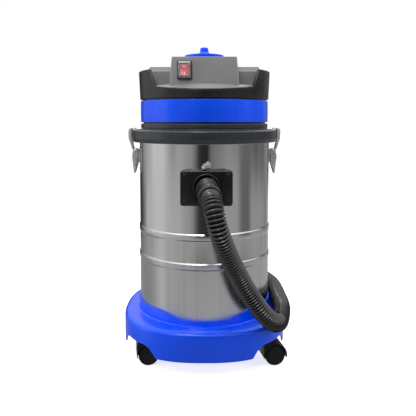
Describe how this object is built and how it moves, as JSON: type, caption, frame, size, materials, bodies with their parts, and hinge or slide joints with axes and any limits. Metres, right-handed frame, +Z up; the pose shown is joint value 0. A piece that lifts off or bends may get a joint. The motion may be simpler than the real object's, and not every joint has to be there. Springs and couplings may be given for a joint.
{
  "type": "wet_dry_canister_vacuum",
  "caption": "Wet and dry canister vacuum cleaner: stainless barrel on a blue castered tray, grey motor head with a rocker switch, two side latches and a corrugated suction hose.",
  "frame": {"origin": "centre of the base tray's footprint, on the floor", "axes": "+X to the machine's own left side seen from behind, which is to the right seen from the front; +Y to the rear; +Z up"},
  "size_m": [0.3879, 0.91, 0.724],
  "materials": {
    "blue_plastic": "satin gloss blue moulding",
    "dark_plastic": "fine satin charcoal moulding",
    "grey_plastic": "fine grained mid grey moulding",
    "black_plastic": "satin black moulding",
    "hose_plastic": "satin black extruded hose",
    "stainless": "polished stainless sheet",
    "latch_steel": "bright plated steel",
    "rubber": "matte black rubber",
    "red_plastic": "gloss red rocker",
    "clear_plastic": "clear soft plastic",
    "motor_steel": "plain zinc plated steel",
    "foam": "open cell foam",
    "filter_cloth": "felted filter cloth",
    "white_plastic": "natural white moulding"
  },
  "bodies": {
    "root": {"base_tray": "blue_plastic", "barrel": "stainless", "barrel_bottom": "stainless", "barrel_seal": "rubber", "head_base": "dark_plastic", "blue_band": "blue_plastic", "head_cover": "dark_plastic", "motor_cover": "grey_plastic", "top_cap": "blue_plastic", "top_cap_screw": "blue_plastic", "switch_bezel": "black_plastic", "switch_dust_cover": "clear_plastic", "cable_gland": "rubber", "motor_body": "motor_steel", "fan_housing": "motor_steel", "motor_gasket": "rubber", "motor_mount_plate": "motor_steel", "exhaust_foam": "foam", "float_cage": "white_plastic", "filter_ring": "black_plastic", "filter_bag": "filter_cloth", "inlet_plate": "black_plastic", "inlet_socket": "black_plastic", "inlet_deflector": "black_plastic", "latch_bracket_left": "latch_steel", "latch_pin_left": "latch_steel", "latch_bracket_right": "latch_steel", "latch_pin_right": "latch_steel", "hose_cuff_inlet": "hose_plastic", "hose": "hose_plastic", "hose_coil": "hose_plastic", "hose_end_cuff": "hose_plastic", "caster_front_left_stem": "latch_steel", "caster_front_right_stem": "latch_steel", "caster_rear_left_stem": "latch_steel", "caster_rear_right_stem": "latch_steel"},
    "rocker": {"switch_rocker": "red_plastic"},
    "fan": {"fan_rotor": "motor_steel"},
    "float": {"float_ball": "white_plastic"},
    "lock_tab": {"inlet_lock_tab": "latch_steel"},
    "lever_left": {"latch_lever_left": "latch_steel"},
    "bail_left": {"latch_bail_left": "latch_steel"},
    "lever_right": {"latch_lever_right": "latch_steel"},
    "bail_right": {"latch_bail_right": "latch_steel"},
    "caster_front_left": {"caster_front_left_hood": "black_plastic", "caster_front_left_axle": "latch_steel"},
    "wheel_front_left_inner": {"caster_front_left_wheel_inner": "black_plastic"},
    "wheel_front_left_outer": {"caster_front_left_wheel_outer": "black_plastic"},
    "caster_front_right": {"caster_front_right_hood": "black_plastic", "caster_front_right_axle": "latch_steel"},
    "wheel_front_right_inner": {"caster_front_right_wheel_inner": "black_plastic"},
    "wheel_front_right_outer": {"caster_front_right_wheel_outer": "black_plastic"},
    "caster_rear_left": {"caster_rear_left_hood": "black_plastic", "caster_rear_left_axle": "latch_steel"},
    "wheel_rear_left_inner": {"caster_rear_left_wheel_inner": "black_plastic"},
    "wheel_rear_left_outer": {"caster_rear_left_wheel_outer": "black_plastic"},
    "caster_rear_right": {"caster_rear_right_hood": "black_plastic", "caster_rear_right_axle": "latch_steel"},
    "wheel_rear_right_inner": {"caster_rear_right_wheel_inner": "black_plastic"},
    "wheel_rear_right_outer": {"caster_rear_right_wheel_outer": "black_plastic"}
  },
  "joints": [
    {"name": "switch_rock", "type": "hinge", "parent": "root", "child": "rocker", "pos_m": [-0.0427, -0.11803, 0.659], "axis": [1, 0, 0], "range_deg": [0, 16]},
    {"name": "fan_spin", "type": "hinge", "parent": "root", "child": "fan", "pos_m": [0, 0, 0.54], "axis": [0, 0, 1], "continuous": true},
    {"name": "float_rise", "type": "slide", "parent": "root", "child": "float", "axis": [0, 0, 1], "range_m": [0, 0.026]},
    {"name": "lock_tab_swing", "type": "hinge", "parent": "root", "child": "lock_tab", "pos_m": [-0.0015, -0.1658, 0.45], "axis": [0, -1, 0], "range_deg": [0, 45]},
    {"name": "latch_open_left", "type": "hinge", "parent": "root", "child": "lever_left", "pos_m": [-0.1655, 0, 0.4765], "axis": [0, 1, 0], "range_deg": [0, 110]},
    {"name": "bail_turn_left", "type": "hinge", "parent": "lever_left", "child": "bail_left", "pos_m": [-0.1675, 0, 0.4645], "axis": [0, 1, 0], "range_deg": [-110, 0]},
    {"name": "latch_open_right", "type": "hinge", "parent": "root", "child": "lever_right", "pos_m": [0.1655, 0, 0.4765], "axis": [0, -1, 0], "range_deg": [0, 110]},
    {"name": "bail_turn_right", "type": "hinge", "parent": "lever_right", "child": "bail_right", "pos_m": [0.1675, 0, 0.4645], "axis": [0, -1, 0], "range_deg": [-110, 0]},
    {"name": "swivel_front_left", "type": "hinge", "parent": "root", "child": "caster_front_left", "pos_m": [-0.142, -0.0985, 0.05], "axis": [0, 0, 1], "continuous": true},
    {"name": "roll_front_left_inner", "type": "hinge", "parent": "caster_front_left", "child": "wheel_front_left_inner", "pos_m": [-0.12821, -0.09607, 0.023], "axis": [-0.1736, 0.9848, 0], "continuous": true},
    {"name": "roll_front_left_outer", "type": "hinge", "parent": "caster_front_left", "child": "wheel_front_left_outer", "pos_m": [-0.12821, -0.09607, 0.023], "axis": [-0.1736, 0.9848, 0], "continuous": true},
    {"name": "swivel_front_right", "type": "hinge", "parent": "root", "child": "caster_front_right", "pos_m": [0.142, -0.0985, 0.05], "axis": [0, 0, 1], "continuous": true},
    {"name": "roll_front_right_inner", "type": "hinge", "parent": "caster_front_right", "child": "wheel_front_right_inner", "pos_m": [0.15579, -0.09607, 0.023], "axis": [-0.1736, 0.9848, 0], "continuous": true},
    {"name": "roll_front_right_outer", "type": "hinge", "parent": "caster_front_right", "child": "wheel_front_right_outer", "pos_m": [0.15579, -0.09607, 0.023], "axis": [-0.1736, 0.9848, 0], "continuous": true},
    {"name": "swivel_rear_left", "type": "hinge", "parent": "root", "child": "caster_rear_left", "pos_m": [-0.142, 0.0985, 0.05], "axis": [0, 0, 1], "continuous": true},
    {"name": "roll_rear_left_inner", "type": "hinge", "parent": "caster_rear_left", "child": "wheel_rear_left_inner", "pos_m": [-0.12821, 0.10093, 0.023], "axis": [-0.1736, 0.9848, 0], "continuous": true},
    {"name": "roll_rear_left_outer", "type": "hinge", "parent": "caster_rear_left", "child": "wheel_rear_left_outer", "pos_m": [-0.12821, 0.10093, 0.023], "axis": [-0.1736, 0.9848, 0], "continuous": true},
    {"name": "swivel_rear_right", "type": "hinge", "parent": "root", "child": "caster_rear_right", "pos_m": [0.142, 0.0985, 0.05], "axis": [0, 0, 1], "continuous": true},
    {"name": "roll_rear_right_inner", "type": "hinge", "parent": "caster_rear_right", "child": "wheel_rear_right_inner", "pos_m": [0.15579, 0.10093, 0.023], "axis": [-0.1736, 0.9848, 0], "continuous": true},
    {"name": "roll_rear_right_outer", "type": "hinge", "parent": "caster_rear_right", "child": "wheel_rear_right_outer", "pos_m": [0.15579, 0.10093, 0.023], "axis": [-0.1736, 0.9848, 0], "continuous": true}
  ],
  "couplings": [
    {"joint": "bail_turn_left", "follows": "latch_open_left", "ratio": -1},
    {"joint": "bail_turn_right", "follows": "latch_open_right", "ratio": -1}
  ]
}
